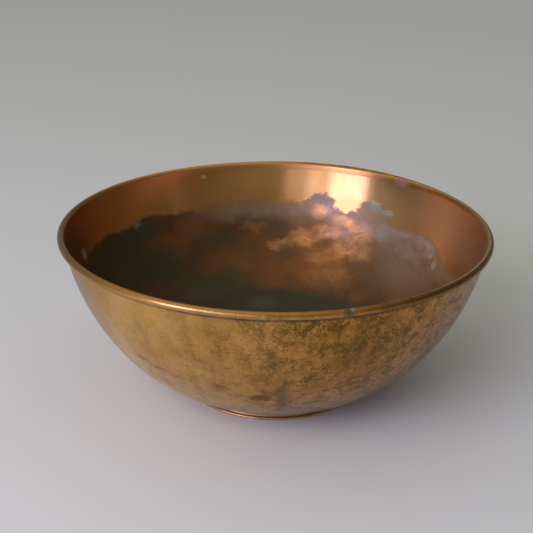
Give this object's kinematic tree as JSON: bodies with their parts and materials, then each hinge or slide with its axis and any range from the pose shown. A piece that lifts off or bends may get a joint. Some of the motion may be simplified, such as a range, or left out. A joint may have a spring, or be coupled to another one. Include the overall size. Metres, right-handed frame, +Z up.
{
  "type": "bowl",
  "caption": "Wide round raised-metal bowl with a rim rolled over a wire and a low soldered foot ring, open at the top.",
  "frame": {"origin": "centre of the foot ring's rest plane, on the bowl's axis of revolution", "axes": "+Z up along the axis towards the open mouth; X and Y level, with the butt joint of the rim wire 56 degrees from +X"},
  "size_m": [0.305, 0.305, 0.121],
  "materials": {
    "aged_brass": "raised brass sheet, tarnished golden brown with darker mottling, satin to glossy",
    "foot_brass": "cast and turned brass, tarnished, worn bright on its bead",
    "iron_wire": "black annealed iron wire, dull",
    "soft_solder": "oxidised tin solder, grey, satin"
  },
  "bodies": {
    "root": {"bowl_body": "aged_brass", "rim_wire": "iron_wire", "foot_ring": "foot_brass", "foot_solder": "soft_solder"}
  },
  "joints": []
}
